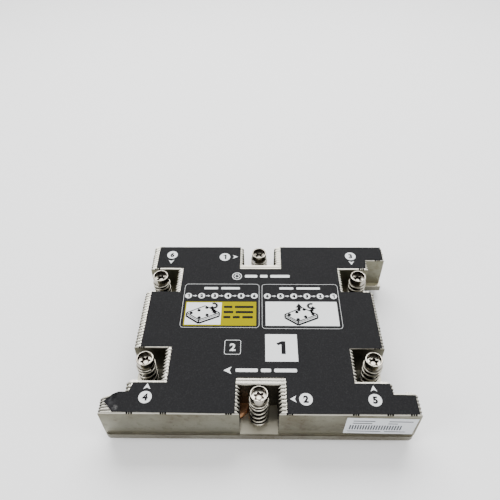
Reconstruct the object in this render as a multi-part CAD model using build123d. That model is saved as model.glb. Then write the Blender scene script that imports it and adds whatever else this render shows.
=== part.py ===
import math
import os
from build123d import *

# Passive cooler for a server processor. A stack of folded fins stands on a base
# plate with heat pipes between the two, and captive spring screws hold it down.
# Millimetres, +Z up. X runs along the fins and Y across them. The origin lies on
# the contact face, under the middle of the stack.

# Fins: one sheet each, a web with a flange along its top and its foot
fin_count = 58
fin_thickness = 0.25
fin_height = 17.0
flange_seat = 0.02
flange_setback = 0.9

# Tabs that lock each fin to the next: a tongue on the flange's rear edge enters
# a window in the bend of the fin behind it. One row runs beside the middle notch
# and one inside each end of the waist, the block and the ears
tab_notch_room = 4.25
tab_waist_room = 3.3
tab_block_room = 3.7
tab_ear_room = 3.55
window_width = 2.0
window_depth = 0.6
window_drop = 0.5
tongue_width = 1.7
tongue_reach = 0.4

# Captive screws: their places, on which the outline of the stack is built
corner_screw_x = 47.8
front_screw_y = -22.85
rear_screw_y = 23.75
front_middle_y = -38.8
rear_middle_y = 39.35

# Outline of the stack, by the room from the screws' axes to its edges
front_edge_room = 7.4
rear_edge_room = 6.85
block_side_room = 6.2
ear_overhang = 9.15
ear_depth = 9.0
corner_side_room = 7.6
middle_side_room = 7.65
front_outer_room = 8.3
front_inner_room = 6.7
rear_inner_room = 7.3
rear_outer_room = 6.3
middle_room = 4.8

# The knocked ear at the front left, with its fin tips pushed together
crush_offset = 1.5
crush_pitch = 1.124

# Base plate and the contact block under it
base_thickness = 3.3
base_front_lip = 0.7
base_side_lip = 0.45
base_ear_lip = 2.8
base_corner_radius = 2.5
contact_screw_room = 9.8
contact_height = 4.0
contact_chamfer = 0.6

# Heat pipes, flattened, half sunk in the base plate
pipe_width = 6.0
pipe_thickness = 3.0
pipe_side_flat = 1.5
pipe_side_slope = 1.3
pipe_sink = 1.2
pipe_clearance = 0.15
pipe_bend_radius = 15.0
pipe_end_room = 3.0
pipe_inner_end = 4.0
pipe_fins_in_front = 2

# Captive screws: their form
head_diameter = 7.3
head_height = 3.6
head_rise = 2.5
cup_diameter = 5.7
cup_depth = 2.3
drive_width = 3.94
drive_waist = 2.4
drive_lobe = 0.9
drive_depth = 1.2
shank_diameter = 4.8
thread_diameter = 4.0
tip_clearance = 0.5
shank_clearance = 0.2

# Retaining rings
ring_diameter = 7.4
ring_thickness = 0.8
ring_mouth = 2.9
ring_gap = 0.05
ring_pocket_diameter = 9.0
ring_pocket_depth = 1.5
groove_diameter = 3.2

# Springs
spring_diameter = 8.3
spring_wire_width = 0.72
spring_wire_height = 0.8
spring_turns = 5.4
spring_turn_steps = 8
spring_head_gap = 0.1

# Labels
label_thickness = 0.15
label_left_margin = 2.8
label_right_margin = 0.8
label_waist_left_margin = 2.6
label_waist_right_margin = 1.4
label_front_margin = 0.6
label_rear_margin = 0.2
label_bar_margin = 1.5
label_block_margin = 0.8
label_ear_margin = 0.85
label_ear_step = 0.55
label_notch_left_margin = 1.75
label_notch_right_margin = 3.25
label_notch_depth_margin = 3.9
tear_front_margin = 5.85
tear_margin = 1.85
tear_depth = 5.0
tear_rear_margin = 4.95
tear_rear_depth = 7.4
sticker_length = 28.0
sticker_end_margin = 0.95
sticker_top_margin = 2.55
sticker_foot_margin = 1.65
sticker_tilt = -1.4
sticker_thickness = 0.1

# Levels and edges that follow from these sizes
base_bottom = contact_height
base_top = base_bottom + base_thickness
fin_top = base_top + fin_height
head_top = fin_top + head_rise
head_foot = head_top - head_height
sticker_height = fin_height - sticker_top_margin - sticker_foot_margin
stack_front = front_middle_y - front_edge_room
stack_rear = rear_middle_y + rear_edge_room
stack_middle = (stack_front + stack_rear - flange_seat) / 2
fin_pitch = (stack_rear - stack_front) / fin_count
waist_reach = corner_screw_x - corner_side_room
block_reach = corner_screw_x + block_side_room
ear_reach = block_reach + ear_overhang
crush_start = block_reach + crush_offset
channel_width = math.ceil((pipe_width + 2 * pipe_clearance) / fin_pitch) * fin_pitch
pipe_bar_y = stack_front + pipe_fins_in_front * fin_pitch + channel_width / 2 - flange_seat / 2
pipe_spread = channel_width / 2
ring_top = base_bottom + ring_pocket_depth - ring_gap
ring_bottom = ring_top - ring_thickness

tab_rows = (
    middle_side_room + tab_notch_room,
    waist_reach - tab_waist_room,
    block_reach - tab_block_room,
    ear_reach - tab_ear_room,
)
screw_places = {
    "front_left": (-corner_screw_x, front_screw_y),
    "front_middle": (0, front_middle_y),
    "front_right": (corner_screw_x, front_screw_y),
    "rear_left": (-corner_screw_x, rear_screw_y),
    "rear_middle": (0, rear_middle_y),
    "rear_right": (corner_screw_x, rear_screw_y),
}


def block(x_range, y_range, z_range):
    """A box between two limits along each axis."""
    size = [high - low for low, high in (x_range, y_range, z_range)]
    middle = [(high + low) / 2 for low, high in (x_range, y_range, z_range)]
    return Pos(*middle) * Box(*size)


def plate(points, bottom, thickness):
    """A flat sheet with the given outline in plan."""
    outline = make_face(Polyline(*points, close=True))
    return Pos(0, 0, bottom) * extrude(outline, thickness)


def fin_front(index):
    """Where the front face of a fin's web stands, counted from the front."""
    return stack_front + index * fin_pitch


def overlaps(index, low, high):
    """Whether a fin, with its flange, reaches into a stretch of Y."""
    return fin_front(index) < high and fin_front(index) + fin_pitch > low


def beside_corner_screw(index):
    front_cut = overlaps(index, front_screw_y - front_outer_room, front_screw_y + front_inner_room)
    rear_cut = overlaps(index, rear_screw_y - rear_inner_room, rear_screw_y + rear_outer_room)
    return front_cut or rear_cut


def beside_middle_screw(index):
    front_cut = overlaps(index, stack_front, front_middle_y + middle_room)
    rear_cut = overlaps(index, rear_middle_y - middle_room, stack_rear)
    return front_cut or rear_cut


def fin_block(index):
    """The name of the block that a fin stands in, and its two ends in X."""
    end = "front" if index < fin_count / 2 else "rear"
    in_front_ear = fin_front(index) - stack_front < ear_depth
    in_rear_ear = stack_rear - fin_front(index) - fin_pitch < ear_depth
    if beside_corner_screw(index):
        return end + "_waist", (-waist_reach, waist_reach)
    if in_front_ear:
        return "front_ear", (-ear_reach, ear_reach)
    if in_rear_ear:
        return "rear_ear", (-block_reach, ear_reach)
    if beside_middle_screw(index):
        return end + "_step", (-block_reach, block_reach)
    if abs(fin_front(index) + fin_pitch / 2) < min(-front_screw_y, rear_screw_y):
        return "middle", (-block_reach, block_reach)
    return end + "_bridge", (-block_reach, block_reach)


def fin_spans(index):
    """The stretches of X that a fin covers, by side: two where a screw stands between."""
    if index < 0 or index >= fin_count:
        return {}
    left, right = fin_block(index)[1]
    if beside_middle_screw(index):
        return {"_left": (left, -middle_side_room), "_right": (middle_side_room, right)}
    return {"": (left, right)}


def tab_places(index):
    """The rows of tabs that a fin carries."""
    rows = [side * row for row in tab_rows for side in (-1, 1)]
    places = set()
    for left, right in fin_spans(index).values():
        places.update(row for row in rows if left + window_width < row < right - window_width)
    return places


def crush_share(x, is_knocked):
    """How far along the bent tip of a knocked fin a place lies, from 0 to 1."""
    if not is_knocked or x > -crush_start:
        return 0
    return (-crush_start - x) / (ear_reach - crush_start)


def fin(index, ends, is_knocked):
    """One folded fin: a web, a flange along its top and another along its foot.

    A tongue that has no fin behind it stands free, and a window that no tongue
    fills stays open. Elsewhere tongue and window are closed up on each other.
    """
    left, right = ends
    bends = [-crush_start] if is_knocked else []
    tip_shift = index * (crush_pitch - fin_pitch)
    reach = fin_pitch - flange_seat

    def web_line(x, offset):
        return x, fin_front(index) + crush_share(x, is_knocked) * tip_shift + offset

    def flange_line(x, offset):
        narrowing = crush_share(x, is_knocked) * (1 - crush_pitch / fin_pitch)
        return web_line(x, offset * (1 - narrowing))

    def flange(bottom, tongues):
        flange_ends = (left + flange_setback, *bends, right - flange_setback)
        outline = [flange_line(x, 0) for x in flange_ends[::-1]]
        outline.append(flange_line(flange_ends[0], reach))
        for place in sorted(bends + tongues):
            if place in bends:
                outline.append(flange_line(place, reach))
            else:
                tongue = (place - tongue_width / 2, place + tongue_width / 2)
                outline.append(flange_line(tongue[0], reach))
                outline.append(flange_line(tongue[0], reach + tongue_reach))
                outline.append(flange_line(tongue[1], reach + tongue_reach))
                outline.append(flange_line(tongue[1], reach))
        outline.append(flange_line(flange_ends[-1], reach))
        return plate(outline, bottom, fin_thickness)

    places = {place for place in tab_places(index) if left < place < right}
    tongues = list(places - tab_places(index + 1))
    windows = places - tab_places(index - 1)
    web_ends = (left, *bends, right)
    web_outline = [web_line(x, 0) for x in web_ends]
    web_outline += [web_line(x, fin_thickness) for x in web_ends[::-1]]
    sheet = plate(web_outline, base_top, fin_height)
    sheet += flange(fin_top - fin_thickness, tongues)
    sheet += flange(base_top, [])
    for place in windows:
        width = (place - window_width / 2, place + window_width / 2)
        bend = web_line(place, 0)[1]
        sheet -= block(width, (bend - window_depth, bend + window_depth), (fin_top - window_drop, head_top))
    return sheet


def pipe_path():
    """Centre line of the front heat pipe: along the front bar, then back to the middle."""
    outer_end = -block_reach + pipe_end_room
    corner = -pipe_spread - pipe_bend_radius
    level = base_top - pipe_sink + pipe_thickness / 2
    along = Line((outer_end, pipe_bar_y, level), (corner, pipe_bar_y, level))
    bend = RadiusArc(along @ 1, (-pipe_spread, pipe_bar_y + pipe_bend_radius, level), -pipe_bend_radius)
    back = Line(bend @ 1, (-pipe_spread, pipe_inner_end, level))
    return along, bend, back


def pipe_shape(section):
    """A section carried along the heat pipe's centre line."""
    along, bend, back = pipe_path()
    start = Plane(origin=along @ 0, x_dir=(0, 1, 0), z_dir=(1, 0, 0))
    path = Wire([along.edge(), bend.edge(), back.edge()])
    return sweep(start * section, path=path)


def pipe_section():
    """The flattened tube, each rounded side drawn as three flats."""
    half_width = pipe_width / 2
    half_thickness = pipe_thickness / 2
    quarter = [
        (half_width, pipe_side_flat / 2),
        (half_width - pipe_side_slope, half_thickness),
    ]
    right = quarter + [(x, -y) for x, y in quarter[::-1]]
    right.sort(key=lambda point: point[1])
    left = [(-x, y) for x, y in right[::-1]]
    return make_face(Polyline(*right, *left, close=True))


def turned_about(shape):
    """The same shape for the other end, half a turn round the middle of the stack."""
    return Pos(0, stack_middle, 0) * Rot(0, 0, 180) * Pos(0, -stack_middle, 0) * shape


def pipe_channel():
    """The room that the base plate and the fins leave for one heat pipe."""
    room = Rectangle(channel_width, pipe_thickness + pipe_clearance)
    return Pos(0, 0, pipe_clearance / 2) * pipe_shape(room)


def base_plate(channels):
    """The plate with its ears, screw holes, ring pockets and pipe channels."""
    side = ear_reach + base_side_lip
    waist = block_reach + base_side_lip
    front = stack_front - base_front_lip
    rear = stack_rear + base_front_lip
    ear_end = ear_depth + base_ear_lip
    level = (base_bottom, base_top)
    body = block((-waist, waist), (front, rear), level)
    body += block((-side, side), (front, stack_front + ear_end), level)
    body += block((0, side), (stack_rear - ear_end, rear), level)
    outer = [edge for edge in body.edges().filter_by(Axis.Z) if abs(edge.center().Y) > rear - 1]
    body = fillet(outer, base_corner_radius)
    for x, y in screw_places.values():
        hole = Cylinder(shank_diameter / 2 + shank_clearance, 3 * base_thickness)
        pocket = Cylinder(ring_pocket_diameter / 2, 2 * ring_pocket_depth)
        body -= Pos(x, y, base_bottom) * (hole + pocket)
    for channel in channels:
        body -= channel
    return body


def contact_block():
    """The raised face that touches the processor's lid."""
    half_length = corner_screw_x - contact_screw_room
    half_width = -front_middle_y - contact_screw_room
    body = block((-half_length, half_length), (-half_width, half_width), (0, base_bottom))
    return chamfer(body.faces().sort_by(Axis.Z)[0].edges(), contact_chamfer)


def drive_recess():
    """The six-lobed recess in the floor of a screw's cup."""
    lobe = Rectangle(drive_width, drive_lobe)
    shape = RegularPolygon(drive_waist / 2, 6) + lobe + Rot(0, 0, 60) * lobe + Rot(0, 0, 120) * lobe
    return Pos(0, 0, head_top - cup_depth - drive_depth) * extrude(shape, drive_depth + 1)


def screw():
    """A captive screw on the Z axis: cupped head, shank, ring groove and threaded end."""
    cup_floor = head_top - cup_depth
    groove_top = ring_top + ring_gap
    groove_bottom = ring_bottom - ring_gap
    profile = Polyline(
        (0, tip_clearance),
        (thread_diameter / 2, tip_clearance),
        (thread_diameter / 2, groove_bottom),
        (groove_diameter / 2, groove_bottom),
        (groove_diameter / 2, groove_top),
        (shank_diameter / 2, groove_top),
        (shank_diameter / 2, head_foot),
        (head_diameter / 2, head_foot),
        (head_diameter / 2, head_top),
        (cup_diameter / 2, head_top),
        (cup_diameter / 2, cup_floor),
        (0, cup_floor),
        close=True,
    )
    body = revolve(Plane.XZ * make_face(profile), Axis.Z)
    return body - drive_recess()


def retaining_ring():
    """The sprung ring in the screw's groove, open at one side."""
    bore = groove_diameter + 2 * ring_gap
    outline = Circle(ring_diameter / 2) - Circle(bore / 2)
    outline -= Pos(0, -ring_diameter / 2) * Rectangle(ring_mouth, ring_diameter)
    return Pos(0, 0, ring_bottom) * extrude(outline, ring_thickness)


def spring():
    """A compression spring round the shank, its two ends ground flat."""
    bottom = base_top
    top = head_foot - spring_head_gap
    coil_radius = (spring_diameter - spring_wire_width) / 2
    rise = top - bottom
    steps = round(spring_turns * spring_turn_steps)
    wire_section = Rectangle(spring_wire_width, spring_wire_height)
    sections = []
    for step in range(steps + 1):
        turn = 360 * step / spring_turn_steps
        height = bottom + rise * step / steps
        place = Pos(0, 0, height) * Rot(0, 0, turn) * Pos(coil_radius, 0, 0) * Rot(90, 0, 0)
        sections.append(place * wire_section)
    coil = loft(sections, ruled=True)
    across = (-spring_diameter, spring_diameter)
    return coil & block(across, across, (bottom, top))


def top_label():
    """The sheet that is stuck over the fins, cut out round each screw."""
    front = stack_front + label_front_margin
    rear = stack_rear - label_rear_margin
    bar_rear = front_screw_y - front_outer_room - label_bar_margin
    block_front = front_screw_y + front_inner_room + label_block_margin
    block_rear = rear_screw_y - rear_inner_room - label_block_margin
    rear_bar_front = rear_screw_y + rear_outer_room + label_bar_margin
    sides = (-block_reach + label_left_margin, block_reach - label_right_margin)
    waist = (-waist_reach + label_waist_left_margin, waist_reach - label_waist_right_margin)
    right_ear = (0, ear_reach - label_ear_margin)
    level = (fin_top, fin_top + label_thickness)
    sheet = block(waist, (front, rear), level)
    sheet += block(sides, (front, bar_rear), level)
    sheet += block(sides, (block_front, block_rear), level)
    sheet += block(sides, (rear_bar_front, rear), level)
    sheet += block(right_ear, (front, stack_front + ear_depth - label_ear_step), level)
    sheet += block(right_ear, (stack_rear - ear_depth, rear), level)
    torn_ear = [
        (0, front),
        (-ear_reach + tear_front_margin, front),
        (-ear_reach + tear_margin, stack_front + tear_depth),
        (-ear_reach + tear_rear_margin, stack_front + tear_rear_depth),
        (-crush_start, stack_front + ear_depth),
        (0, stack_front + ear_depth),
    ]
    sheet += plate(torn_ear, fin_top, label_thickness)
    notch = (-middle_side_room - label_notch_left_margin, middle_side_room + label_notch_right_margin)
    front_notch_end = front_middle_y + middle_room + label_notch_depth_margin
    rear_notch_end = rear_middle_y - middle_room - label_notch_depth_margin
    sheet -= block(notch, (stack_front, front_notch_end), (base_top, head_top))
    sheet -= block(notch, (rear_notch_end, stack_rear), (base_top, head_top))
    return sheet


def side_label():
    """The small sticker on the front fin, a little out of square."""
    sheet = Box(sticker_length, sticker_thickness, sticker_height)
    centre_x = ear_reach - sticker_end_margin - sticker_length / 2
    centre_z = base_top + sticker_foot_margin + sticker_height / 2
    place = Pos(centre_x, stack_front - sticker_thickness / 2, centre_z)
    return place * Rot(0, -sticker_tilt, 0) * sheet


def fin_groups(channels):
    """The fins of each block. What a pipe channel cuts loose from a fin falls away."""
    groups = {}
    for index in range(fin_count):
        name = fin_block(index)[0]
        for side, ends in fin_spans(index).items():
            is_knocked = name == "front_ear" and side == "_left"
            sheet = fin(index, ends, is_knocked)
            for channel in channels:
                sheet -= channel
            largest = sheet.solids().sort_by(SortBy.VOLUME)[-1]
            groups.setdefault("fins_" + name + side, []).append(largest)
    return groups


def write(name, shape):
    export_step(shape, "parts/" + name + ".step")


os.makedirs("parts", exist_ok=True)
front_channel = pipe_channel()
channels = [front_channel, turned_about(front_channel)]
front_pipe = pipe_shape(pipe_section())

write("base_plate", base_plate(channels))
write("contact_block", contact_block())
write("heat_pipe_front", front_pipe)
write("heat_pipe_rear", turned_about(front_pipe))
write("top_label", top_label())
write("side_label", side_label())
for group_name, fins in fin_groups(channels).items():
    write(group_name, Compound(children=fins))
for place_name, (screw_x, screw_y) in screw_places.items():
    write("screw_" + place_name, Pos(screw_x, screw_y, 0) * screw())
    write("ring_" + place_name, Pos(screw_x, screw_y, 0) * retaining_ring())
    write("spring_" + place_name, Pos(screw_x, screw_y, 0) * spring())
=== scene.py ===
import math

import bmesh
import bpy
from mathutils import Matrix, Vector


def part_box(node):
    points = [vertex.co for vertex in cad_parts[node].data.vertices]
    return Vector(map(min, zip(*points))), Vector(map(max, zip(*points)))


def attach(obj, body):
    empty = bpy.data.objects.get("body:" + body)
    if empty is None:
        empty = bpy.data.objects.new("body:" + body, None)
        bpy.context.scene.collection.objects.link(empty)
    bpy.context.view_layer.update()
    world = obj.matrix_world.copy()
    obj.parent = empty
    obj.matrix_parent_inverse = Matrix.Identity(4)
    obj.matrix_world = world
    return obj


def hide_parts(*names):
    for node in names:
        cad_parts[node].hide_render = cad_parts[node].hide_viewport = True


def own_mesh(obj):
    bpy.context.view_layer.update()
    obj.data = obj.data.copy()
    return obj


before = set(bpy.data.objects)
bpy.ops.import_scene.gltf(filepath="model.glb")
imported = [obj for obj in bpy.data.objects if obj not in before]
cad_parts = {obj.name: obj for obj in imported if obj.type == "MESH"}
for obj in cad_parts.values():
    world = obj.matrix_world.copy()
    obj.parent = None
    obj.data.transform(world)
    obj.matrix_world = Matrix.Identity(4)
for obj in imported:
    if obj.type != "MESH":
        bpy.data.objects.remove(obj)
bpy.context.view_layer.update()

mm = 0.001


# Camera
# It stands in front of the cooler and above it, and looks down at 45 degrees.
camera = bpy.data.objects.new("camera", bpy.data.cameras.new("camera"))
camera.location = Vector((-0.27, -136.74, 202.98)) * mm
camera.rotation_euler = [math.radians(angle) for angle in (45.335, 0.620, 0.789)]
camera.data.sensor_width = 36.0
camera.data.lens = 35.45
camera.data.clip_start = 0.01
bpy.context.scene.collection.objects.link(camera)
bpy.context.scene.camera = camera


# Floor and studio light
# A pale board, a wide soft box above and behind the cooler, and three smaller
# ones at its sides and its front, in a dim room.
def add_object(name, data):
    piece = bpy.data.objects.new(name, data)
    bpy.context.scene.collection.objects.link(piece)
    return piece


def new_material(name, colour, metallic, roughness):
    """A Principled material, its nodes, and the shader itself."""
    made = bpy.data.materials.new(name)
    made.use_nodes = True
    shader = made.node_tree.nodes["Principled BSDF"]
    shader.inputs["Base Color"].default_value = (*colour, 1)
    shader.inputs["Metallic"].default_value = metallic
    shader.inputs["Roughness"].default_value = roughness
    return made, made.node_tree, shader


floor_reach = 1.5
floor_mesh = bpy.data.meshes.new("floor")
floor_corners = [(x * floor_reach, y * floor_reach, 0) for x, y in ((-1, -1), (1, -1), (1, 1), (-1, 1))]
floor_mesh.from_pydata(floor_corners, [], [(0, 1, 2, 3)])
floor_mesh.materials.append(new_material("pale_board", (0.95, 0.95, 0.95), 0, 0.8)[0])
floor = add_object("floor", floor_mesh)


def soft_box(name, place, size, power):
    light = bpy.data.lights.new(name, "AREA")
    light.shape = "RECTANGLE"
    light.size, light.size_y = size
    light.energy = power
    lamp = add_object(name, light)
    lamp.location = place
    lamp.rotation_euler = (Vector((0, 0, 0.01)) - Vector(place)).to_track_quat("-Z", "Y").to_euler()


soft_box("overhead_box", (0.0, 0.45, 0.62), (0.9, 0.5), 12.5)
soft_box("left_box", (-0.75, -0.35, 0.6), (0.4, 0.4), 6.0)
soft_box("right_box", (0.8, -0.3, 0.6), (0.4, 0.4), 4.5)
soft_box("front_box", (0.1, -0.8, 0.32), (0.7, 0.3), 5.0)
world = bpy.data.worlds.new("studio")
world.use_nodes = True
world.node_tree.nodes["Background"].inputs["Color"].default_value = (0.97, 0.98, 1.0, 1)
world.node_tree.nodes["Background"].inputs["Strength"].default_value = 0.34
bpy.context.scene.world = world


# Base plate
# A rolled plate, cut out and bored for the screws, with the channel of each
# heat pipe milled in its top. It is nickel plated, and the plating has dulled.
base_edge = 0.2


def put(tree, kind, links=None, **settings):
    """A node with its settings, and the values or sources of its sockets."""
    node = tree.nodes.new(kind)
    for key, value in settings.items():
        setattr(node, key, value)
    for socket, source in (links or {}).items():
        if isinstance(source, bpy.types.NodeSocket):
            tree.links.new(source, node.inputs[socket])
        else:
            node.inputs[socket].default_value = source
    return node


def maths(tree, operation, first, second=0.0, third=0.0, clamp=False):
    values = {0: first, 1: second, 2: third}
    return put(tree, "ShaderNodeMath", values, operation=operation, use_clamp=clamp).outputs[0]


def times(tree, first, second):
    return maths(tree, "MULTIPLY", first, second)


def minus(tree, first, second):
    return maths(tree, "SUBTRACT", first, second)


def new_group(name, kind, inputs, outputs):
    """A node group with named sockets, and its two end nodes."""
    group = bpy.data.node_groups.new(name, kind)
    for socket_name, socket_type, default in inputs:
        full_type = "NodeSocket" + socket_type
        socket = group.interface.new_socket(socket_name, in_out="INPUT", socket_type=full_type)
        if default is not None:
            socket.default_value = default
    for socket_name, socket_type in outputs:
        group.interface.new_socket(socket_name, in_out="OUTPUT", socket_type="NodeSocket" + socket_type)
    return group, group.nodes.new("NodeGroupInput").outputs, group.nodes.new("NodeGroupOutput").inputs


def use_group(tree, group, **values):
    node = put(tree, "ShaderNodeGroup", node_tree=group)
    for socket, value in values.items():
        node.inputs[socket.replace("_", " ")].default_value = value
    return node.outputs


def noise(tree, vector, scale, detail=2.0):
    return put(tree, "ShaderNodeTexNoise", {"Vector": vector, "Scale": scale, "Detail": detail}).outputs[0]


def between(tree, value, low, high):
    """0 below one level, 1 above another, and smooth between them."""
    levels = {"Value": value, "From Min": low, "From Max": high}
    return put(tree, "ShaderNodeMapRange", levels, interpolation_type="SMOOTHSTEP").outputs[0]


def colour_mix(tree, factor, first, second):
    return put(tree, "ShaderNodeMix", {0: factor, 6: first, 7: second}, data_type="RGBA").outputs[2]


def set_bump(tree, shader, height, strength, distance):
    node = put(tree, "ShaderNodeBump", {"Height": height, "Strength": strength, "Distance": distance})
    tree.links.new(node.outputs[0], shader.inputs["Normal"])


tarnish, tarnish_in, tarnish_out = new_group(
    "tarnish",
    "ShaderNodeTree",
    [
        ("Clean", "Color", (0.3, 0.28, 0.24, 1)),
        ("Stained", "Color", (0.15, 0.12, 0.09, 1)),
        ("Patch Scale", "Float", 60.0),
        ("Amount", "Float", 0.5),
        ("Pits", "Float", 0.5),
        ("Gloss", "Float", 0.3),
    ],
    [("Color", "Color"), ("Roughness", "Float"), ("Height", "Float")],
)
tarnish_place = put(tarnish, "ShaderNodeTexCoord").outputs["Object"]
broad = between(tarnish, noise(tarnish, tarnish_place, tarnish_in["Patch Scale"], 6.0), 0.38, 0.68)
fine = between(tarnish, noise(tarnish, tarnish_place, 420.0, 4.0), 0.5, 0.72)
pits = between(tarnish, noise(tarnish, tarnish_place, 1100.0, 1.0), 0.70, 0.76)
clouds = times(tarnish, maths(tarnish, "MULTIPLY_ADD", fine, 0.45, broad), tarnish_in["Amount"])
stain = maths(tarnish, "MULTIPLY_ADD", pits, tarnish_in["Pits"], clouds, clamp=True)
stained = colour_mix(tarnish, stain, tarnish_in["Clean"], tarnish_in["Stained"])
grain = noise(tarnish, tarnish_place, 4800.0)
dulled = maths(tarnish, "MULTIPLY_ADD", stain, 0.16, tarnish_in["Gloss"])
tarnish.links.new(stained, tarnish_out["Color"])
tarnish.links.new(maths(tarnish, "MULTIPLY_ADD", grain, 0.12, dulled), tarnish_out["Roughness"])
tarnish.links.new(minus(tarnish, grain, pits), tarnish_out["Height"])


def plated(name, clean, dark, patch_scale, amount, pits, gloss, strength=0.2):
    """A plated metal with its tarnish and grain."""
    made, tree, shader = new_material(name, clean, 1.0, gloss)
    values = {"Clean": (*clean, 1), "Stained": (*dark, 1), "Patch_Scale": patch_scale}
    worn = use_group(tree, tarnish, Amount=amount, Pits=pits, Gloss=gloss, **values)
    tree.links.new(worn["Color"], shader.inputs["Base Color"])
    tree.links.new(worn["Roughness"], shader.inputs["Roughness"])
    set_bump(tree, shader, worn["Height"], strength, 0.02 * mm)
    return made, tree, shader, worn


def cad_copy(name, node, edge):
    """The node's solid as one closed mesh, with its sharp edges broken."""
    sharp_from = math.radians(35)
    solid = bmesh.new()
    solid.from_mesh(bpy.data.objects[node].data)
    bmesh.ops.remove_doubles(solid, verts=solid.verts, dist=0.002 * mm)
    flat = {"angle_limit": math.radians(2), "verts": solid.verts, "edges": solid.edges}
    bmesh.ops.dissolve_limit(solid, use_dissolve_boundaries=False, **flat)
    bmesh.ops.recalc_face_normals(solid, faces=solid.faces)
    made = bpy.data.meshes.new(name)
    solid.to_mesh(made)
    solid.free()
    made.materials.clear()
    made.shade_smooth()
    made.set_sharp_from_angle(angle=sharp_from)
    piece = add_object(name, made)
    bevel = piece.modifiers.new("broken_edges", "BEVEL")
    bevel.width = edge * mm
    bevel.segments = 2
    bevel.limit_method = "ANGLE"
    bevel.angle_limit = sharp_from
    bevel.harden_normals = False
    return piece


base_plating, base_tree, base_shader, base_worn = plated(
    "plated_base", (0.16, 0.153, 0.122), (0.08, 0.066, 0.046), 70.0, 0.5, 0.5, 0.42
)
base_place = put(base_tree, "ShaderNodeTexCoord").outputs["Object"]
base_level = put(base_tree, "ShaderNodeSeparateXYZ", {0: base_place}).outputs["Z"]
base_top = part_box("fins_middle")[0].z
base_y = put(base_tree, "ShaderNodeSeparateXYZ", {0: base_place}).outputs["Y"]
# Painted light: the top face of the plate, between the front and the rear of the fin stack, is mixed towards
# a pale colour, as if lit from above.
base_up = between(base_tree, base_level, base_top - 0.4 * mm, base_top - 0.1 * mm)
stack_edge = -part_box("fins_front_ear_left")[0].y
from_edge = minus(base_tree, stack_edge, maths(base_tree, "ABSOLUTE", base_y))
base_lit = times(base_tree, base_up, between(base_tree, from_edge, -0.3 * mm, 0.3 * mm))
lit_share = times(base_tree, base_lit, 0.8)
base_top_painted_light = colour_mix(base_tree, lit_share, base_worn["Color"], (0.60, 0.57, 0.46, 1))
base_tree.links.new(base_top_painted_light, base_shader.inputs["Base Color"])
base = cad_copy("milled_base", "base_plate", base_edge)
base.data.materials.append(base_plating)
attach(base, "cooler")
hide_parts("base_plate")


# Contact block
# The pad that meets the processor, fly cut flat after plating, so that fine
# arcs of the cutter cross its face.
cut_spacing = 0.35
cut_radius = 60.0
block_plating, block_tree, block_shader, block_worn = plated(
    "fly_cut_plating", (0.36, 0.34, 0.29), (0.2, 0.17, 0.13), 90.0, 0.3, 0.2, 0.24
)
from_cutter = put(
    block_tree,
    "ShaderNodeVectorMath",
    {
        0: put(block_tree, "ShaderNodeTexCoord").outputs["Object"],
        1: (0, cut_radius * mm, 0),
    },
    operation="DISTANCE",
).outputs["Value"]
cut_phase = times(block_tree, from_cutter, 2 * math.pi / (cut_spacing * mm))
cut_marks = maths(block_tree, "SINE", cut_phase)
milled_height = maths(block_tree, "ADD", cut_marks, block_worn["Height"])
set_bump(block_tree, block_shader, milled_height, 0.25, 0.01 * mm)
pad = cad_copy("contact_pad", "contact_block", 0.12)
pad.data.materials.append(block_plating)
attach(pad, "cooler")
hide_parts("contact_block")


# Heat pipes
# Round copper tubes, bent and pressed flat, half sunk in the base plate and
# closed by a crimp at each end. The solder's heat has browned them.
pipe_width = 6.0
pipe_thickness = 3.0
pipe_bend = 15.0
pipe_crimp = 4.0
pipe_level = 7.6
pipe_low, pipe_high = [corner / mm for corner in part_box("heat_pipe_front")]
bar_y = pipe_low.y + pipe_width / 2
leg_x = pipe_high.x - pipe_width / 2


def geo(tree, kind, links=None, **settings):
    """The first output of a geometry node."""
    return put(tree, "GeometryNode" + kind, links, **settings).outputs[0]


pipe_tube, pipe_in, pipe_out = new_group(
    "pressed_pipe",
    "GeometryNodeTree",
    [
        ("Geometry", "Geometry", None),
        ("Width", "Float", pipe_width * mm),
        ("Thickness", "Float", pipe_thickness * mm),
        ("Crimp Length", "Float", pipe_crimp * mm),
        ("Finish", "Material", None),
    ],
    [("Geometry", "Geometry")],
)
pipe_line = geo(pipe_tube, "MeshToCurve", {0: pipe_in["Geometry"]})
pipe_upright = geo(pipe_tube, "SetCurveNormal", {"Curve": pipe_line}, mode="Z_UP")
pipe_run = put(pipe_tube, "GeometryNodeSplineParameter").outputs["Length"]
pipe_whole = put(pipe_tube, "GeometryNodeSplineLength").outputs["Length"]
pipe_left = maths(pipe_tube, "MINIMUM", pipe_run, minus(pipe_tube, pipe_whole, pipe_run))
pipe_full = maths(pipe_tube, "DIVIDE", pipe_left, pipe_in["Crimp Length"], clamp=True)
pipe_swell = maths(pipe_tube, "MULTIPLY_ADD", maths(pipe_tube, "SQRT", pipe_full), 0.65, 0.35)
pipe_slot = geo(
    pipe_tube,
    "CurvePrimitiveQuadrilateral",
    {"Width": pipe_in["Width"], "Height": pipe_in["Thickness"]},
    mode="RECTANGLE",
)
pipe_round = times(pipe_tube, pipe_in["Thickness"], 0.499)
pipe_rounded = geo(
    pipe_tube, "FilletCurve", {"Curve": pipe_slot, "Radius": pipe_round, "Count": 6}, mode="POLY"
)
pipe_swept = geo(
    pipe_tube,
    "CurveToMesh",
    {"Curve": pipe_upright, "Profile Curve": pipe_rounded, "Scale": pipe_swell, "Fill Caps": True},
)


def end_tree(tree, output, geometry, finish):
    """The end of a tree: real geometry with its material."""
    real = geo(tree, "RealizeInstances", {0: geometry})
    dressed = geo(tree, "SetMaterial", {"Geometry": real, "Material": finish})
    tree.links.new(dressed, output["Geometry"])


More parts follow.
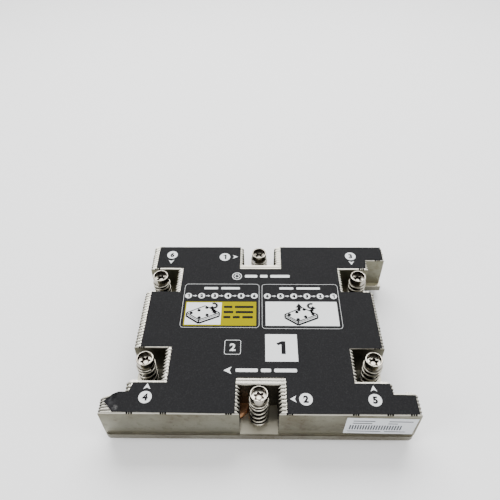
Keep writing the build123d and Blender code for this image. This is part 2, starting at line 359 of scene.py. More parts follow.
def grown(name, mesh, group, values, sharp=35):
    """The plain mesh that a geometry tree makes, with its modifier gone."""
    piece = add_object(name, mesh)
    modifier = piece.modifiers.new(group.name, "NODES")
    modifier.node_group = group
    for item in group.interface.items_tree:
        if item.item_type == "SOCKET" and item.in_out == "INPUT" and item.name in values:
            modifier[item.identifier] = values[item.name]
    graph = bpy.context.evaluated_depsgraph_get()
    made = bpy.data.meshes.new_from_object(piece.evaluated_get(graph), depsgraph=graph)
    made.name = name
    piece.modifiers.clear()
    piece.data = made
    solid = bmesh.new()
    solid.from_mesh(made)
    bmesh.ops.recalc_face_normals(solid, faces=solid.faces)
    solid.to_mesh(made)
    solid.free()
    made.shade_smooth()
    made.set_sharp_from_angle(angle=math.radians(sharp))
    return piece


def line_mesh(name, points):
    made = bpy.data.meshes.new(name)
    places = [Vector(point) * mm for point in points]
    made.from_pydata(places, [(i, i + 1) for i in range(len(points) - 1)], [])
    return made


end_tree(pipe_tube, pipe_out, pipe_swept, pipe_in["Finish"])
copper = plated("browned_copper", (0.80, 0.43, 0.23), (0.38, 0.17, 0.085), 120.0, 0.6, 0.4, 0.24)[0]
pipe_bend_x, pipe_bend_y = leg_x - pipe_bend, bar_y + pipe_bend
pipe_ends = [pipe_low.x + pipe_crimp * step / 6 for step in range(7)]
pipe_angles = [math.radians(-90 + 6 * step) for step in range(16)]
pipe_corner = [
    (pipe_bend_x + pipe_bend * math.cos(a), pipe_bend_y + pipe_bend * math.sin(a)) for a in pipe_angles
]
pipe_legs = [pipe_high.y - pipe_crimp * step / 6 for step in range(6, -1, -1)]
pipe_path = [(x, bar_y) for x in pipe_ends] + pipe_corner + [(leg_x, y) for y in pipe_legs]
for end, turn in (("front", 1), ("rear", -1)):
    path = [(turn * x, turn * (y + 0.01) - 0.01, pipe_level) for x, y in pipe_path]
    values = {
        "Width": pipe_width * mm,
        "Thickness": pipe_thickness * mm,
        "Crimp Length": pipe_crimp * mm,
        "Finish": copper,
    }
    pipe = grown("pressed_pipe_" + end, line_mesh("pipe_line", path), pipe_tube, values)
    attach(pipe, "cooler")
    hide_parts("heat_pipe_" + end)


# Fins
# Each is one sheet of plated aluminium, folded along its top and its foot, and
# hooked to the next by fingers that lie in a slotted window in its bend.
fin_count = 58
fin_sheet = 0.25
fin_bend = 0.45
fin_foot_bend = 0.26
fin_setback = 1.6
fin_tooth_start = 0.02
fin_end_jitter = 0.12
window_slots = ((-1.3, -0.5), (-0.3, 0.3), (0.5, 1.3))
window_depth = 0.75
window_drop = 0.65
finger_reach = 0.38
finger_play = 0.06
fin_shade = 0.93

stack_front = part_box("fins_front_ear_left")[0].y / mm
stack_rear = -stack_front
middle_low, middle_high = [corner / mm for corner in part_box("fins_middle")]
fin_foot, fin_top = middle_low.z, middle_high.z
fin_pitch = (stack_rear - stack_front) / fin_count
fin_reach = fin_pitch - 0.02
fin_gap = 0.32
closed_gap = 0.08
ear_reach = -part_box("fins_front_ear_left")[0].x / mm
block_reach = -middle_low.x
crush_start = block_reach + 1.5
crush_pitch = 1.124
crush_squeeze = 0.42
waist_reach = -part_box("fins_front_waist")[0].x / mm
notch_reach = -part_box("fins_front_step_left")[1].x / mm
tab_rows = [notch_reach + 4.25, waist_reach - 2.85, block_reach - 3.4, ear_reach - 3.55]

fin_plating, fin_tree, fin_shader, fin_worn = plated(
    "plated_fins", (0.175, 0.170, 0.124), (0.085, 0.071, 0.042), 46.0, 0.75, 0.6, 0.3
)
fin_place = put(fin_tree, "ShaderNodeTexCoord").outputs["Object"]
fin_level = put(fin_tree, "ShaderNodeSeparateXYZ", {0: fin_place}).outputs["Z"]
# Darker and browner towards the foot of the fins, below a wavy line.
low_noise = noise(fin_tree, fin_place, 90.0, 4.0)
low_wave = maths(fin_tree, "MULTIPLY_ADD", low_noise, 9 * mm, (fin_foot - 1.5) * mm)
low_darkening = between(fin_tree, minus(fin_tree, low_wave, fin_level), -2 * mm, 3 * mm)
low_darkening_share = times(fin_tree, low_darkening, 0.1)
fin_colour = colour_mix(fin_tree, low_darkening_share, fin_worn["Color"], (0.11, 0.09, 0.06, 1))
under_joint = times(fin_tree, fin_level, -1.0)
# Painted light: the lowest 5 mm of the fins are mixed towards a lighter colour, against the shade of the
# floor close to their foot that they reflect.
foot_painted_light = between(fin_tree, under_joint, -(fin_foot + 5.0) * mm, -(fin_foot + 0.6) * mm)
foot_painted_light_share = times(fin_tree, foot_painted_light, 0.5)
fin_colour = colour_mix(fin_tree, foot_painted_light_share, fin_colour, (0.36, 0.34, 0.26, 1))
joint_line = between(fin_tree, under_joint, -(fin_foot + 0.5) * mm, -(fin_foot + 0.35) * mm)
joint_breaks = between(fin_tree, noise(fin_tree, fin_place, 160.0), 0.47, 0.53)
joint_dark = times(fin_tree, times(fin_tree, joint_line, joint_breaks), 0.7)
fin_colour = colour_mix(fin_tree, joint_dark, fin_colour, (0.045, 0.038, 0.028, 1))
# Painted highlight: the top 0.5 mm of the fins, their flanges and bends, is mixed towards a pale colour.
top_painted_highlight = between(fin_tree, fin_level, (fin_top - 0.5) * mm, (fin_top - 0.3) * mm)
top_highlight_share = times(fin_tree, top_painted_highlight, 0.8)
fin_colour = colour_mix(fin_tree, top_highlight_share, fin_colour, (0.60, 0.578, 0.505, 1))
# Painted shade: faces inside the stack, between the fins and in the windows, are mixed towards near black.
in_shade = put(fin_tree, "ShaderNodeAttribute", attribute_name="painted_inner_shade").outputs["Fac"]
fin_colour = colour_mix(fin_tree, in_shade, fin_colour, (0.018, 0.0135, 0.0105, 1))
fin_tree.links.new(fin_colour, fin_shader.inputs["Base Color"])


def quarter(centre, radius, start):
    """Points of a quarter circle that turns left from an angle in degrees."""
    angles = [math.radians(start + 45 * step) for step in range(3)]
    return [(centre[0] + radius * math.cos(a), centre[1] + radius * math.sin(a)) for a in angles]


def fold_section(gap):
    """The section of a fin in Y and Z, and its points at the window's foot."""
    foot_inner = quarter((fin_foot_bend, fin_foot + fin_foot_bend), fin_foot_bend - fin_sheet, 180)[::-1]
    section = [(fin_reach, fin_foot), (fin_reach, fin_foot + fin_sheet), *foot_inner]
    rear = len(section)
    section.append((fin_sheet, fin_top - window_drop))
    section += quarter((fin_bend, fin_top - fin_bend), fin_bend - fin_sheet, 90)[::-1]
    section += [(fin_reach - gap, fin_top - fin_sheet), (fin_reach - gap, fin_top)]
    section += quarter((fin_bend, fin_top - fin_bend), fin_bend, 90)
    front = len(section)
    section.append((0, fin_top - window_drop))
    return section + quarter((fin_foot_bend, fin_foot + fin_foot_bend), fin_foot_bend, 180), rear, front


def box_section(y_range, z_range):
    (y_low, y_high), (z_low, z_high) = y_range, z_range
    return [(y_high, z_low), (y_high, z_high), (y_low, z_high), (y_low, z_low)]


def add_prism(solid, section, x_range):
    """A solid with one section in Y and Z, between two places in X."""
    ends = [[solid.verts.new((x, y, z)) for y, z in section] for x in x_range]
    for index in range(len(section)):
        after = (index + 1) % len(section)
        solid.faces.new((ends[0][index], ends[0][after], ends[1][after], ends[1][index]))
    solid.faces.new(ends[0][::-1])
    solid.faces.new(ends[1])


def fin_mesh(left, right, bends, gap):
    """One fin with its windows and fingers, its front at Y 0."""
    solid = bmesh.new()
    rows = [side * row for row in tab_rows for side in (-1, 1) if left + 2 < side * row < right - 2]
    # No window shows any more in the squeezed end of the knocked ear
    if bends:
        rows = [row for row in rows if row > -crush_start]
    slots = sorted((row + low, row + high) for row in rows for low, high in window_slots)
    cuts = sorted({left, right, *bends, *[edge for slot in slots for edge in slot]})
    section, rear, front = fold_section(gap)
    rings = [[solid.verts.new((x, y, z)) for y, z in section] for x in cuts]
    solid.faces.new(rings[0])
    solid.faces.new(rings[-1])
    for index, (low, high) in enumerate(zip(cuts, cuts[1:])):
        here, after = rings[index], rings[index + 1]
        is_slot = (low, high) in slots
        solid_sides = [i for i in range(len(section)) if not (is_slot and rear <= i < front)]
        edges = [(i, (i + 1) % len(section)) for i in solid_sides]
        for start, end in edges + [(rear, front)] * is_slot:
            solid.faces.new((here[start], here[end], after[end], after[start]))
        if is_slot:
            solid.faces.new(here[rear : front + 1])
            solid.faces.new(after[rear : front + 1])
            ledge = box_section((window_depth, fin_reach - gap), (fin_top - fin_sheet, fin_top))
            add_prism(solid, ledge, (low, high))
            finger_span = (fin_reach - gap, fin_reach + finger_reach)
            finger = box_section(finger_span, (fin_top - fin_sheet, fin_top - 0.05))
            add_prism(solid, finger, (low + finger_play, high - finger_play))
    bmesh.ops.recalc_face_normals(solid, faces=solid.faces)
    facing = {name: solid.faces.layers.float.new(name) for name in ("ahead", "behind", "in_window")}
    for face in solid.faces:
        at, normal = face.calc_center_median(), face.normal
        upward = normal.z if at.z > (fin_foot + fin_top) / 2 else -normal.z
        is_cut = abs(normal.x) > 0.9
        is_ledge = at.z > fin_top - 0.01 or at.y > window_depth - 0.01
        in_slot = any(low < at.x < high for low, high in slots)
        face[facing["ahead"]] = float(normal.y < -0.9 and at.y < 0.01)
        face[facing["behind"]] = float(not is_cut and upward - normal.y < 0.1)
        face[facing["in_window"]] = float(is_cut and left + 0.1 < at.x < right - 0.1)
        if in_slot and at.z > fin_top - window_drop - 0.05 and not (is_ledge and upward > 0.9):
            face[facing["in_window"]] = 1.0
    for vert in solid.verts:
        lean = (vert.co.y / fin_reach - fin_tooth_start) / (1 - fin_tooth_start)
        if vert.co.x < left + 1e-4:
            vert.co.x += fin_setback * max(0, min(1, lean))
        elif vert.co.x > right - 1e-4:
            vert.co.x -= fin_setback * max(0, min(1, lean))
        if bends and vert.co.x < -crush_start:
            vert.co.y *= 1 - crush_squeeze * min(1, (-vert.co.x - crush_start) / (ear_reach - crush_start))
    solid.transform(Matrix.Scale(mm, 4))
    made = bpy.data.meshes.new("folded_sheet")
    solid.to_mesh(made)
    solid.free()
    return made


fin_stack, stack_in, stack_out = new_group(
    "fin_stack",
    "GeometryNodeTree",
    [
        ("Geometry", "Geometry", None),
        ("Fin Count", "Int", 1),
        ("Fin Pitch", "Float", fin_pitch * mm),
        ("First Front", "Float", 0.0),
        ("End Jitter", "Float", fin_end_jitter * mm),
        ("Seed", "Int", 3),
        ("Front Shade", "Float", 0.0),
        ("Crush Start", "Float", 1.0),
        ("Crush Length", "Float", 0.01),
        ("Crush Step", "Float", 0.0),
        ("Finish", "Material", None),
    ],
    [("Geometry", "Geometry")],
)


def combined(tree, x=0.0, y=0.0, z=0.0):
    return put(tree, "ShaderNodeCombineXYZ", {0: x, 1: y, 2: z}).outputs[0]


stack_line = geo(
    fin_stack,
    "MeshLine",
    {
        "Count": stack_in["Fin Count"],
        "Start Location": combined(fin_stack, y=stack_in["First Front"]),
        "Offset": combined(fin_stack, y=stack_in["Fin Pitch"]),
    },
    mode="OFFSET",
)
fin_number = geo(fin_stack, "InputIndex")
numbered = geo(
    fin_stack,
    "StoreNamedAttribute",
    {"Geometry": stack_line, "Name": "fin", "Value": fin_number},
    data_type="INT",
)
on_points = geo(fin_stack, "InstanceOnPoints", {"Points": numbered, "Instance": stack_in["Geometry"]})
stack_real = geo(fin_stack, "RealizeInstances", {0: on_points})
own_number = geo(fin_stack, "InputNamedAttribute", {"Name": "fin"}, data_type="INT")
jitter_values = {2: -1.0, 3: 1.0, "ID": own_number, "Seed": stack_in["Seed"]}
jitter = put(fin_stack, "FunctionNodeRandomValue", jitter_values, data_type="FLOAT").outputs[1]
stack_place = geo(fin_stack, "InputPosition")
stack_x = put(fin_stack, "ShaderNodeSeparateXYZ", {0: stack_place}).outputs[0]
past_start = minus(fin_stack, times(fin_stack, stack_x, -1.0), stack_in["Crush Start"])
crush_share = maths(fin_stack, "DIVIDE", past_start, stack_in["Crush Length"], clamp=True)
crush_step = times(fin_stack, crush_share, stack_in["Crush Step"])
stack_offset = combined(
    fin_stack,
    x=times(fin_stack, jitter, stack_in["End Jitter"]),
    y=times(fin_stack, crush_step, own_number),
)
moved = geo(fin_stack, "SetPosition", {"Geometry": stack_real, "Offset": stack_offset})
# Painted shade for each face corner: the fronts of all fins but the first, the rear and under faces of all
# fins but the last, and the faces in the windows; in the inner blocks the front of the first fin is shaded
# too, fading out over 6 mm towards its ends.
facing = {}
for name in ("ahead", "behind", "in_window"):
    facing[name] = geo(fin_stack, "InputNamedAttribute", {"Name": name}, data_type="FLOAT")
is_later = maths(fin_stack, "GREATER_THAN", own_number, 0.5)
has_next = maths(fin_stack, "LESS_THAN", maths(fin_stack, "ADD", own_number, 1.5), stack_in["Fin Count"])
fin_inset = minus(fin_stack, block_reach * mm, maths(fin_stack, "ABSOLUTE", stack_x))
end_fade = maths(fin_stack, "DIVIDE", fin_inset, 6 * mm, clamp=True)
first_dark = times(fin_stack, end_fade, stack_in["Front Shade"])
front_dark = maths(fin_stack, "MAXIMUM", times(fin_stack, is_later, fin_shade), first_dark)
ahead_dark = times(fin_stack, facing["ahead"], front_dark)
behind_dark = times(fin_stack, times(fin_stack, facing["behind"], has_next), fin_shade)
window_dark = times(fin_stack, facing["in_window"], fin_shade)
all_dark = maths(fin_stack, "MAXIMUM", maths(fin_stack, "MAXIMUM", ahead_dark, behind_dark), window_dark)
shaded = geo(
    fin_stack,
    "StoreNamedAttribute",
    {"Geometry": moved, "Name": "painted_inner_shade", "Value": all_dark},
    data_type="FLOAT",
    domain="CORNER",
)
end_tree(fin_stack, stack_out, shaded, stack_in["Finish"])

fin_blocks = [
    ("front_ear_left", 0, 6, -ear_reach, -notch_reach),
    ("front_ear_right", 0, 6, notch_reach, ear_reach),
    ("front_step_left", 6, 2, -block_reach, -notch_reach),
    ("front_step_right", 6, 2, notch_reach, block_reach),
    ("front_bridge", 8, 1, -block_reach, block_reach),
    ("front_waist", 9, 10, -waist_reach, waist_reach),
    ("middle", 19, 20, -block_reach, block_reach),
    ("rear_waist", 39, 9, -waist_reach, waist_reach),
    ("rear_bridge", 48, 2, -block_reach, block_reach),
    ("rear_step_left", 50, 2, -block_reach, -notch_reach),
    ("rear_step_right", 50, 2, notch_reach, block_reach),
    ("rear_ear_left", 52, 6, -block_reach, -notch_reach),
    ("rear_ear_right", 52, 6, notch_reach, ear_reach),
]
for place, first, count, left, right in fin_blocks:
    is_knocked = place == "front_ear_left"
    bends = [left + step * (ear_reach - crush_start) / 6 for step in range(1, 7)] if is_knocked else []
    gap = closed_gap if place == "front_bridge" else fin_gap
    sheet = fin_mesh(left + fin_end_jitter, right - fin_end_jitter, bends, gap)
    values = {
        "Fin Count": count,
        "Fin Pitch": fin_pitch * mm,
        "First Front": (stack_front + first * fin_pitch) * mm,
        "End Jitter": fin_end_jitter * mm,
        "Seed": first,
        "Front Shade": 0.0 if "ear" in place else fin_shade - 0.05,
        "Crush Start": crush_start * mm if is_knocked else 1.0,
        "Crush Length": (ear_reach - crush_start) * mm,
        "Crush Step": (crush_pitch - fin_pitch) * mm,
        "Finish": fin_plating,
    }
    fins = grown("folded_fins_" + place, sheet, fin_stack, values)
    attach(fins, "cooler")
    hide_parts("fins_" + place)


# Top label
# A black matt film stuck over the whole stack. The edges of the fins show
# faintly through it. Over the knocked ear it is torn, folded up and scuffed.
label_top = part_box("top_label")[1].z / mm
scuff_x, scuff_y, scuff_radius = -56.4, stack_front + 2.4, 1.5
ridge_share = 0.35
tip_crumple = 26.0
same_place = 0.1
tip_centre, tip_length = (-60.6 * mm, -40.8 * mm, label_top * mm), 5.0
# Corners of the straight outline, and where the film was really cut
trimmed = {
    (-51.2, -37.2): (-52.3, -36.9),
    (-55.5, -37.2): (-56.4, -36.9),
    (-51.2, 31.55): (-51.2, 31.1),
    (-37.6, 31.55): (-37.6, 31.1),
    (38.8, 31.55): (38.8, 31.1),
    (53.2, 31.55): (52.8, 31.1),
    (53.2, 15.65): (52.8, 15.65),
    (53.2, -15.35): (52.8, -15.75),
    (38.8, -15.35): (38.8, -15.75),
    (53.2, -32.65): (52.8, -32.65),
    (53.2, -37.75): (53.5, -37.5),
    (53.2, 37.2): (53.5, 36.95),
    (62.3, 37.2): (62.3, 36.95),
    (62.3, -37.75): (62.0, -37.6),
    (62.3, -45.6): (62.0, -45.7),
    (-9.4, -45.6): (-9.4, -45.95),
    (10.9, -45.6): (10.9, -45.95),
}
# The lines along which the torn corner is folded, and the points it lifts
folds = [((-57.3, -45.6), (-56.4, -36.9)), ((-61.3, -41.2), (-56.7, -39.8))]
fold_reach = -57.0
lifted = [((-61.3, -41.2), 0.35), ((-58.2, -38.8), 1.3)]
notch_corners = [(-9.4, -30.1), (10.9, -30.1)]
notch_round = 0.8

film_grain, film_in, film_out = new_group(
    "film_grain",
    "ShaderNodeTree",
    [
        ("Color", "Color", (0.02, 0.02, 0.02, 1)),
        ("Speckle", "Color", (0.05, 0.05, 0.05, 1)),
        ("Grain Scale", "Float", 2400.0),
        ("Amount", "Float", 0.5),
        ("Dullness", "Float", 0.5),
    ],
    [("Color", "Color"), ("Roughness", "Float"), ("Height", "Float")],
)
film_place = put(film_grain, "ShaderNodeTexCoord").outputs["Object"]
film_noise = noise(film_grain, film_place, film_in["Grain Scale"], 3.0)
film_spots = between(film_grain, film_noise, 0.45, 0.75)
film_cloud = between(film_grain, noise(film_grain, film_place, 35.0, 3.0), 0.3, 0.8)
film_worn = maths(film_grain, "MULTIPLY_ADD", film_cloud, 0.3, film_spots)
film_share = times(film_grain, film_worn, film_in["Amount"])
film_speckled = colour_mix(film_grain, film_share, film_in["Color"], film_in["Speckle"])
film_grain.links.new(film_speckled, film_out["Color"])
film_rough = maths(film_grain, "MULTIPLY_ADD", film_cloud, 0.1, film_in["Dullness"])
film_grain.links.new(film_rough, film_out["Roughness"])
film_grain.links.new(film_noise, film_out["Height"])


def film(name, colour, speckle, scale, amount, dullness):
    """A printed film with its grain."""
    made, tree, shader = new_material(name, colour, 0.0, dullness)
    values = {"Color": (*colour, 1), "Speckle": (*speckle, 1), "Grain_Scale": scale}
    printed = use_group(tree, film_grain, Amount=amount, Dullness=dullness, **values)
    tree.links.new(printed["Color"], shader.inputs["Base Color"])
    tree.links.new(printed["Roughness"], shader.inputs["Roughness"])
    set_bump(tree, shader, printed["Height"], 0.12, 0.02 * mm)
    shader.inputs["Specular IOR Level"].default_value = 0.04
    return made, tree, shader, printed


black_film, label_tree, label_shader, label_printed = film(
    "black_film", (0.010, 0.010, 0.0108), (0.026, 0.026, 0.027), 2600.0, 0.6, 0.55
)
label_place = put(label_tree, "ShaderNodeTexCoord").outputs["Object"]
label_y = put(label_tree, "ShaderNodeSeparateXYZ", {0: label_place}).outputs["Y"]
from_front = minus(label_tree, label_y, stack_front * mm)
fin_phase = times(label_tree, from_front, 2 * math.pi / (fin_pitch * mm))
fin_ridges = times(label_tree, maths(label_tree, "COSINE", fin_phase), ridge_share)
from_tip = put(label_tree, "ShaderNodeVectorMath", {0: label_place, 1: tip_centre}, operation="DISTANCE")
tip_near = between(label_tree, times(label_tree, from_tip.outputs["Value"], -1.0), -tip_length * mm, 0.0)
tip_noise = noise(label_tree, label_place, 420.0, 1.0)
tip_folds = times(label_tree, tip_noise, times(label_tree, tip_near, tip_crumple))
ridged_height = maths(label_tree, "ADD", fin_ridges, label_printed["Height"])
label_height = maths(label_tree, "ADD", ridged_height, tip_folds)
set_bump(label_tree, label_shader, label_height, 0.16, 0.03 * mm)
scuff_centre = (scuff_x * mm, scuff_y * mm, label_top * mm)
from_scuff = put(label_tree, "ShaderNodeVectorMath", {0: label_place, 1: scuff_centre}, operation="DISTANCE")
scuff_depth = times(label_tree, from_scuff.outputs["Value"], -1.0)
scuff_near = between(label_tree, scuff_depth, -scuff_radius * mm, 0.0)
scuff_rubs = between(label_tree, noise(label_tree, label_place, 700.0, 5.0), 0.35, 0.62)
scuff_share = times(label_tree, scuff_near, scuff_rubs)
# Painted highlight: uneven lighter facets on the torn tip, standing in for light on its crumpled folds.
fold_facets = between(label_tree, tip_noise, 0.5, 0.62)
fold_painted_highlight = times(label_tree, fold_facets, tip_near)
folded = colour_mix(label_tree, fold_painted_highlight, label_printed["Color"], (0.045, 0.045, 0.047, 1))
scuffed = colour_mix(label_tree, scuff_share, folded, (0.13, 0.13, 0.128, 1))
label_tree.links.new(scuffed, label_shader.inputs["Base Color"])
label = cad_copy("cut_label", "top_label", 0.05)
cut_film = bmesh.new()
cut_film.from_mesh(label.data)


def lies_at(place, x, y):
    """Whether a place in metres is the one given in millimetres."""
    return math.hypot(place.x / mm - x, place.y / mm - y) < same_place


for vert in cut_film.verts:
    for (x, y), (cut_x, cut_y) in trimmed.items():
        if lies_at(vert.co, x, y):
            vert.co.x, vert.co.y = cut_x * mm, cut_y * mm
rounds = []
for edge in cut_film.edges:
    middle = (edge.verts[0].co + edge.verts[1].co) / 2
    if any(lies_at(middle, x, y) for x, y in notch_corners):
        rounds.append(edge)
rounded_off = {"offset": notch_round * mm, "segments": 4, "profile": 0.5, "affect": "EDGES"}
bmesh.ops.bevel(cut_film, geom=rounds, **rounded_off)
# The first line runs right across the film, the second only over its corner
crossed = cut_film.faces[:]
for first, second in folds:
    fold_start, fold_end = Vector((*first, 0)) * mm, Vector((*second, 0)) * mm
    across_fold = (fold_end - fold_start).cross(Vector((0, 0, 1))).normalized()
    parts = [*crossed]
    for face in crossed:
        parts += [*face.edges, *face.verts]
    plane = {"plane_co": fold_start, "plane_no": across_fold, "dist": 0.001 * mm}
    bmesh.ops.bisect_plane(cut_film, geom=list(dict.fromkeys(parts)), **plane)
    crossed = [face for face in cut_film.faces if face.calc_center_median().x < fold_reach * mm]
for vert in cut_film.verts:
    for (x, y), lift in lifted:
        if lies_at(vert.co, x, y):
            vert.co.z += lift * mm
for face in bmesh.ops.triangulate(cut_film, faces=crossed)["faces"]:
    for edge in face.edges:
        edge.smooth = False
cut_film.to_mesh(label.data)
cut_film.free()
label.data.materials.append(black_film)
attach(label, "cooler")
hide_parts("top_label")


# Print on the label
# Numbers beside the screws, two panels that show their order, and rows of
# plain bars. Each colour is one thin layer of ink, printed on the film.
ink = 0.02
number_width = 5.3


def circle(x, y, radius, count=40):
    angles = [2 * math.pi * step / count for step in range(count)]
    return [(x + radius * math.cos(a), y + radius * math.sin(a)) for a in angles]


def rounded(x_range, y_range, radius):
    """A rectangle with round corners, turning left."""
    corners = [(x_range[1], y_range[1], 0), (x_range[0], y_range[1], 90)]
    corners += [(x_range[0], y_range[0], 180), (x_range[1], y_range[0], 270)]
    points = []
    for x, y, start in corners:
        centre_x = x + radius * (-1 if x == x_range[1] else 1)
        centre_y = y + radius * (-1 if y == y_range[1] else 1)
        angles = [math.radians(start + 15 * step) for step in range(7)]
        points += [(centre_x + radius * math.cos(a), centre_y + radius * math.sin(a)) for a in angles]
    return points


def add_field(solid, points, level=1):
    """A flat shape. Its places are measured from the front of the stack."""
    z = label_top + level * ink
    solid.faces.new([solid.verts.new((x, stack_front + y, z)) for x, y in points])


def add_outline(solid, outer, inner):
    for index in range(len(outer)):
        after = (index + 1) % len(outer)
        add_field(solid, [outer[index], outer[after], inner[after], inner[index]], 1)


def add_frame(solid, x_range, y_range, radius, width):
    inner_x = (x_range[0] + width, x_range[1] - width)
    inner_y = (y_range[0] + width, y_range[1] - width)
    add_outline(solid, rounded(x_range, y_range, radius), rounded(inner_x, inner_y, radius - width))


def add_stroke(solid, points, width, level=3):
    """A drawn line with a flat pen."""
    for (x, y), (next_x, next_y) in zip(points, points[1:]):
        length = math.hypot(next_x - x, next_y - y)
        across_x, across_y = (y - next_y) / length * width / 2, (next_x - x) / length * width / 2
        corners = [(x - across_x, y - across_y), (next_x - across_x, next_y - across_y)]
        corners += [(next_x + across_x, next_y + across_y), (x + across_x, y + across_y)]
        add_field(solid, corners, level)


def add_arrowhead(solid, tip, back, width, hollow=0.28, level=1):
    """A barbed arrowhead, from its tip to the middle of its back."""
    along_x, along_y = back[0] - tip[0], back[1] - tip[1]
    length = math.hypot(along_x, along_y)
    side_x, side_y = -along_y / length * width / 2, along_x / length * width / 2
    notch = (back[0] - along_x * hollow, back[1] - along_y * hollow)
    barbs = [(back[0] + side_x, back[1] + side_y), (back[0] - side_x, back[1] - side_y)]
    add_field(solid, [tip, barbs[0], notch, barbs[1]], level)


def add_number(solid, number, x, y, height, level, boldness=0.03):
    """A digit in the plain built-in face, or a drawn one."""
    if number == 1:
        drawn = [(0.0, -0.5), (0.2, -0.5), (0.2, 0.5), (0.03, 0.5)]
        drawn += [(-0.24, 0.33), (-0.15, 0.17), (0.0, 0.26)]
        wide = height * (1 + 5 * boldness)
        add_field(solid, [(x + across * wide, y + along * height) for across, along in drawn], level)
        return
    letters = bpy.data.curves.new("digit", "FONT")
    letters.body = str(number)
    letters.offset = boldness
    letters.resolution_u = 4
    holder = add_object("digit", letters)
    graph = bpy.context.evaluated_depsgraph_get()
    drawn = bpy.data.meshes.new_from_object(holder.evaluated_get(graph), depsgraph=graph)
    bpy.data.objects.remove(holder)
    xs, ys = [vert.co.x for vert in drawn.vertices], [vert.co.y for vert in drawn.vertices]
    centre = Vector(((min(xs) + max(xs)) / 2, (min(ys) + max(ys)) / 2, 0))
    scale = height / (max(ys) - min(ys))
    place = Vector((x, stack_front + y, label_top + level * ink))
    drawn.transform(Matrix.Translation(place) @ Matrix.Scale(scale, 4) @ Matrix.Translation(-centre))
    solid.from_mesh(drawn)


def add_bars(solid, x, y, height, lengths, gap, level=1):
    """A row of plain bars."""
    for length in lengths:
        add_field(solid, rounded((x, x + length), (y - height / 2, y + height / 2), height * 0.3), level)
        x += length + gap


def add_cooler_sign(solid, x, y, size):
    """A small drawing of a slab with six screws, seen from a corner."""
    left, front = (x - 0.5 * size, y), (x - 0.108 * size, y - 0.27 * size)
    right, rear = (x + 0.5 * size, y), (x + 0.045 * size, y + 0.266 * size)
    add_stroke(solid, [left, front, right, rear, left], 0.5)
    for drop, width in ((0.055, 0.35), (0.13, 0.95)):
        low = [(corner[0], corner[1] - drop * size) for corner in (left, front, right)]
        add_stroke(solid, low, width)
    for corner in (left, front, right):
        add_stroke(solid, [corner, (corner[0], corner[1] - 0.13 * size)], 0.6)
    for along in (0.12, 0.5, 0.88):
        for across in (0.17, 0.83):
            screw_x = left[0] + (right[0] - front[0]) * along + (front[0] - left[0]) * across
            screw_y = left[1] + (right[1] - front[1]) * along + (front[1] - left[1]) * across
            add_field(solid, circle(screw_x, screw_y, 0.052 * size, 12), 3)
            rim = [(screw_x - 0.055 * size, screw_y - 0.01 * size), (screw_x, screw_y + 0.055 * size)]
            add_stroke(solid, rim, 0.4)


def add_turn_sign(solid, x, y, side):
    """A round arrow over a screw. Its head points left (-1) or right (1)."""
    angles = [math.radians(60 + 24 * step) for step in range(9)]
    ring = [(x - side * 1.5 * math.cos(a + math.pi), y + 1.35 * math.sin(a)) for a in angles]
    add_stroke(solid, ring, 1.1)
    end_x, end_y = ring[-1]
    add_arrowhead(solid, (end_x + side * 2.7, end_y), (end_x + side * 0.8, end_y), 2.6, 0.0, 3)
    add_stroke(solid, [(end_x, end_y), (end_x + side * 1.2, end_y)], 1.1)
    add_stroke(solid, [(x, y - 4.2), (x, y - 1.9)], 0.95)
    add_stroke(solid, [(x - 1.0, y - 2.7), (x + 1.0, y - 2.7)], 0.8)


light_ink, dark_ink, yellow_ink = bmesh.new(), bmesh.new(), bmesh.new()
numbers = [
    (4, (-45.25, 6.88), (-45.18, 13.03), (-45.15, 10.4), 2.9),
    (6, (-44.31, 86.42), (-44.29, 80.22), (-44.35, 82.8), 2.8),
    (1, (-17.35, 84.95), (-10.72, 85.19), (-13.3, 85.05), 2.5),
    (3, (46.30, 85.68), (46.15, 79.67), (46.3, 82.2), 2.7),
    (2, (18.53, 6.43), (12.29, 6.48), (14.8, 6.5), 3.0),
    (5, (45.73, 6.25), (45.88, 12.68), (45.85, 10.0), 2.6),
]
for number, (x, y), tip, back, width in numbers:
    add_field(light_ink, circle(x, y, number_width / 2))
    add_number(dark_ink, number, x, y, 3.15, 2, 0.05)
    add_arrowhead(light_ink, tip, back, width)

add_frame(light_ink, (-35.5, 0.1), (40.9, 66.7), 1.6, 0.13)
add_frame(light_ink, (1.35, 37.4), (40.45, 66.6), 1.6, 0.13)
add_field(yellow_ink, rounded((-34.1, -1.3), (42.0, 55.7), 0.1))
add_field(light_ink, rounded((-33.6, -17.3), (42.5, 55.2), 0.1), 2)
add_field(light_ink, rounded((3.0, 36.0), (42.0, 55.8), 0.1))
add_cooler_sign(dark_ink, -25.6, 49.2, 15.0)
add_turn_sign(dark_ink, -20.9, 53.3, -1)
add_cooler_sign(dark_ink, 19.2, 48.4, 14.8)
add_turn_sign(dark_ink, 24.0, 53.3, 1)
add_arrowhead(dark_ink, (18.4, 54.9), (18.4, 52.3), 3.2, 0.1, 3)
add_stroke(dark_ink, [(18.3, 50.3), (18.4, 52.6)], 1.4)
for y, lengths in ((52.6, (3.9, 8.6)), (49.6, (4.4, 8.0)), (46.7, (3.2, 3.2, 4.8))):
    add_bars(dark_ink, -16.2, y, 1.25, lengths, 1.1, 3)
add_bars(light_ink, -26.2, 64.0, 1.3, (6.6, 8.9), 1.5)
add_bars(light_ink, 9.7, 64.0, 1.3, (6.6, 11.2), 1.5)
for first_x, y, order in ((-33.28, 59.3, (1, 2, 3, 4, 5, 6)), (3.91, 59.2, (6, 5, 4, 3, 2, 1))):
    for step, number in enumerate(order):
        x = first_x + step * 6.21
        add_field(light_ink, circle(x, y, 1.62, 28))
        add_number(dark_ink, number, x, y, 2.1, 2, 0.09)
        if step:
            add_stroke(light_ink, [(x - 4.15, y), (x - 3.0, y)], 0.35, 1)
            add_arrowhead(light_ink, (x - 2.1, y), (x - 3.2, y), 1.1, 0.0)

